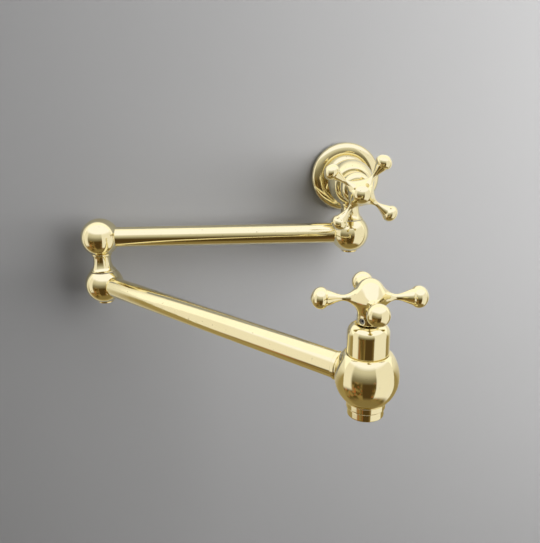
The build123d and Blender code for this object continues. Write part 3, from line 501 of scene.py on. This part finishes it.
def cross_handle(node, place, body):
    bm = bmesh.new()
    corner_tag = bm.verts.layers.int.new("corner")
    row_tag = bm.verts.layers.int.new("row")
    outline = []
    for row, (height, radius) in enumerate(held(HUB_ROWS)):
        reach = radius / COLUMNS_DRAWN_IN if HUB_ROWS[row][1] else 0.0
        outline.append(bm.verts.new((reach, 0, height)))
        outline[-1][row_tag] = row
    wires = [bm.edges.new(pair) for pair in zip(outline, outline[1:])]
    bmesh.ops.spin(bm, geom=outline + wires, axis=(0, 0, 1), cent=(0, 0, 0),
                   angle=math.tau, steps=COLUMNS, use_merge=True)
    bmesh.ops.remove_doubles(bm, verts=bm.verts, dist=0.0001)
    grid = {}
    for vert in bm.verts:
        column = round(math.atan2(vert.co.y, vert.co.x) / math.tau * COLUMNS) % COLUMNS
        grid[vert[row_tag], column] = vert

    arm_patches = [(MIDDLE_ROW, column) for column in range(0, COLUMNS, 4)]
    for row, column in [*arm_patches, (SCREW_ROW, SCREW_COLUMN)]:
        grid[row, column][corner_tag] = PATCH_CENTRE
        for corner, (up, along) in enumerate(RING_ORDER):
            grid[row + up, (column + along) % COLUMNS][corner_tag] = corner

    for row, column in arm_patches:
        turned = Matrix.Rotation(math.tau * column / COLUMNS, 3, "Z")
        faces = list(grid[row, column].link_faces)
        for vert in {vert for face in faces for vert in face.verts}:
            c, s = [*OCTAGON, (0, 0)][vert[corner_tag]]
            vert.co = turned @ Vector((ARM_FOOT, ARM_FOOT_GIRTH * c, ARM_FOOT_GIRTH * s))
        for reach, girth in held([(ARM_FOOT, ARM_FOOT_GIRTH * 0.9), *ARM_RINGS])[1:]:
            girth /= OCTAGON_DRAWN_IN
            spots = [turned @ Vector((reach, girth * c, girth * s)) for c, s in OCTAGON]
            tip = (TIP_END - reach * (1 - MIDDLE_SHARE)) / MIDDLE_SHARE
            faces = grow(bm, faces, corner_tag, spots + [turned @ Vector((tip, 0, 0))])
    for column in range(2, COLUMNS, 4):
        out = Matrix.Rotation(math.tau * column / COLUMNS, 3, "Z") @ Vector((1, 0, 0))
        for row, reach in WEBS:
            grid[row, column].co = out * reach + Vector((0, 0, grid[row, column].co.z))

    out = Matrix.Rotation(math.tau * SCREW_COLUMN / COLUMNS, 3, "Z") @ Vector((1, 0, 0))
    along = Vector((-out.y, out.x, 0))
    faces = list(grid[SCREW_ROW, SCREW_COLUMN].link_faces)
    for girth, deep in SCREW_HOLE:
        girth /= OCTAGON_DRAWN_IN
        spots = []
        for c, s in [*OCTAGON, (0, 0)]:
            skin = math.sqrt(SCREW_HOLE_SKIN ** 2 - (girth * c) ** 2)
            height = HUB_ROWS[SCREW_ROW][0] + girth * s
            spots.append(out * (skin - deep) + along * girth * c + Vector((0, 0, height)))
        faces = grow(bm, faces, corner_tag, spots)
    piece = finished(bm, node, place, body)
    for layer in ("corner", "row", "sharp_edge"):
        if layer in piece.data.attributes:
            piece.data.attributes.remove(piece.data.attributes[layer])
    smooth = piece.modifiers.new("casting", "SUBSURF")
    smooth.levels = smooth.render_levels = 3


for valve, turned_away, degrees in (("wall", OUT_OF_WALL, 54.4), ("spout", Matrix.Identity(4), -1.5)):
    place = (Matrix.Translation(joint_at[valve + "_handle_turn"]) @ turned_away
             @ Matrix.Rotation(math.radians(degrees), 4, "Z") @ MILLIMETRES)
    cross_handle(valve + "_cross_handle", place, valve + "_handle")
    coat(steel_material, valve + "_set_screw")

# ---- swivel necks ----
# Each neck and its spigot are one brass turning: a collar screwed up against the flat above, a
# waist, and a flared foot that rests on the washer of the ball below.
spigot, stem_bore, ring_groove, clip_groove, collar, waist = 6.5, 3.8, 4.95, 5.8, 9.5, (8.2, 24.25)


def swivel_neck(node, top, place, body):
    finished(lathe([
        (stem_bore, top + 7.0), (6.9, top + 7.0), (6.9, top), (collar, top, 0.25), (collar, top - 1.3, 0.2),
        *bend((9.2, top - 1.7), (8.6, top - 2.8), (8.2, 26.3), waist, 10)[:-1],
        *bend(waist, (8.2, 20.6), (9.2, 16.4), (11.7, 14.95), 18),
        (11.8, 13.95, 0.3), (spigot, 13.95),
        (spigot, 8.4), (ring_groove, 8.4), (ring_groove, 6.4), (spigot, 6.4),
        (spigot, -5.8), (ring_groove, -5.8), (ring_groove, -7.8), (spigot, -7.8),
        (spigot, -9.3), (clip_groove, -9.3), (clip_groove, -10.3), (spigot, -10.3),
        (spigot, -13.6), (stem_bore, -13.6),
    ], 96), node, place, body)


wall_ball = Matrix.Translation(joint_at["wall_swivel"]) @ MILLIMETRES
arm_ball = Matrix.Translation(elbow) @ arm_turn @ MILLIMETRES
swivel_neck("wall_swivel_neck", 28.8, wall_ball, "wall_valve")
swivel_neck("elbow_neck", 30.8, arm_ball, "upper_arm")

# ---- swivel seals and clips ----
# Inside each ball: two O-rings on the spigot and a split steel clip that holds the ball up. The edge
# of a tan low-friction washer shows under the neck's foot. All keep their CAD shapes.
slick = Finish(bpy.data.materials.new("ptfe"))
wax = slick.noise(slick.place(), 700.0, 3.0)
slick_colour = slick.blend(wax, (0.30, 0.27, 0.20, 1), (0.22, 0.19, 0.14, 1))
slick_material = slick.done(Base_Color=slick_colour, Roughness=wax * 0.1 + 0.4,
                            Normal=slick.bump(wax, 0.00002, 0.3))
coat(rubber_material, "wall_swivel_o_rings", "elbow_o_rings")
coat(steel_material, "wall_swivel_clip", "elbow_clip")
coat(slick_material, "wall_swivel_washer", "elbow_washer")

# ---- balls and caps ----
# Solid brass balls, turned flat above for the washer and bored for the neck, polished all over. A
# small cap is pressed in below. The upper elbow ball screws on the lower neck and needs no cap.
ball, spigot_bore, ring_bore, cap_bore, cap_edge = 18.0, 6.55, 8.6, 8.2, -58.82
ball_outline = [
    (spigot_bore, 13.2), *arc(ball, ball, 47.17, cap_edge, 56), (cap_bore, -15.4), (cap_bore, -9.0),
    (spigot_bore, -9.0), (spigot_bore, -4.6), (ring_bore, -4.6), (ring_bore, 4.6), (spigot_bore, 4.6),
]
cap_outline = [
    (0, -14.4), (8.15, -14.4), (8.15, -15.4), *arc(ball, ball, cap_edge, -64.2, 6), (6.9, -16.3),
    (6.9, -16.6), (7.4, -16.7, 0.1), (7.4, -ball, 0.7), (0, -ball),
]
for name, outline, steps, place, body in (
    ("wall_ball", ball_outline, 128, wall_ball, "upper_arm"),
    ("lower_elbow_ball", ball_outline, 128, arm_ball, "lower_arm"),
    ("wall_ball_cap", cap_outline, 96, wall_ball, "upper_arm"),
    ("elbow_ball_cap", cap_outline, 96, arm_ball, "lower_arm"),
):
    finished(lathe(outline, steps), name, place, body)

elbow_ball = Matrix.Translation((elbow.x, elbow.y, joint_at["wall_swivel"].z)) @ MILLIMETRES
finished(lathe([
    (0, ball), *arc(ball, ball, 90, -57.6, 72)[1:], (6.95, -15.2), (6.95, -7.7), (0, -7.7),
]), "elbow_ball", elbow_ball, "upper_arm")

# ---- arm tubes ----
# Drawn brass tubes, polished along their length and brazed into the sockets of the balls. The
# second one has a narrow collar where it meets the spout valve.
along_arm = Matrix.Rotation(math.pi / 2, 4, "Y")
tube, tube_bore, socket_end = 9.5, 8.3, 12.5
for name, start, end, place, body in (
    ("upper_arm_tube", -223.0, -socket_end, wall_ball, "upper_arm"),
    ("lower_arm_tube", socket_end, 282.7, arm_ball, "lower_arm"),
):
    tube_outline = [(tube_bore, start), (tube, start, 0.2), (tube, end, 0.2), (tube_bore, end)]
    finished(lathe(tube_outline), name, place @ along_arm, body)
collar_outline = [(9.55, -23.2), (10.2, -23.2, 0.3), (10.2, -20.2, 0.3), (9.55, -20.2)]
finished(lathe(collar_outline), "tube_collar", spout_valve @ along_arm, "lower_arm")

# ---- spout valve body ----
# The same bulb standing upright at the end of the second arm, with a short band below for the
# aerator and a fine groove where the band meets the bulb.
band, aerator_bore = 13.1, 11.05
finished(lathe([
    *bulb_shoulder, *arc(bulb_radius, 22.9, 0, -51.6, 28), (12.8, -18.15), (12.8, -18.5),
    (band, -18.6, 0.1), (band, -22.2, 0.3), (aerator_bore, -22.2), (aerator_bore, -14.0),
    (waterway, -14.0), *cartridge_bore,
]), "spout_valve_body", spout_valve, "lower_arm")

# ---- aerator ----
# A turned brass ring screws up into the band and holds a moulded plastic insert with fine jets. The
# rubber washer above the insert seals it, and both keep their CAD shapes.
plastic = Finish(bpy.data.materials.new("aerator_plastic"))
mould = plastic.noise(plastic.place(), 900.0, 3.0)
plastic_colour = plastic.blend(mould, (0.55, 0.56, 0.57, 1), (0.48, 0.49, 0.50, 1))
plastic_material = plastic.done(Base_Color=plastic_colour, Roughness=mould * 0.15 + 0.35,
                                Normal=plastic.bump(mould, 0.00003, 0.4))
screwed_in, ring_outside, insert_seat, jet_opening = 11.0, 12.2, 9.6, 8.7
finished(lathe([
    (insert_seat, -15.6), (screwed_in, -15.6), (screwed_in, -22.9), (ring_outside, -22.9, 0.3),
    (ring_outside, -28.4, 0.85), (jet_opening, -28.4, 0.2), (jet_opening, -27.2), (insert_seat, -27.2),
]), "aerator_shell", spout_valve, "lower_arm")
coat(plastic_material, "aerator_insert")
coat(rubber_material, "aerator_washer")
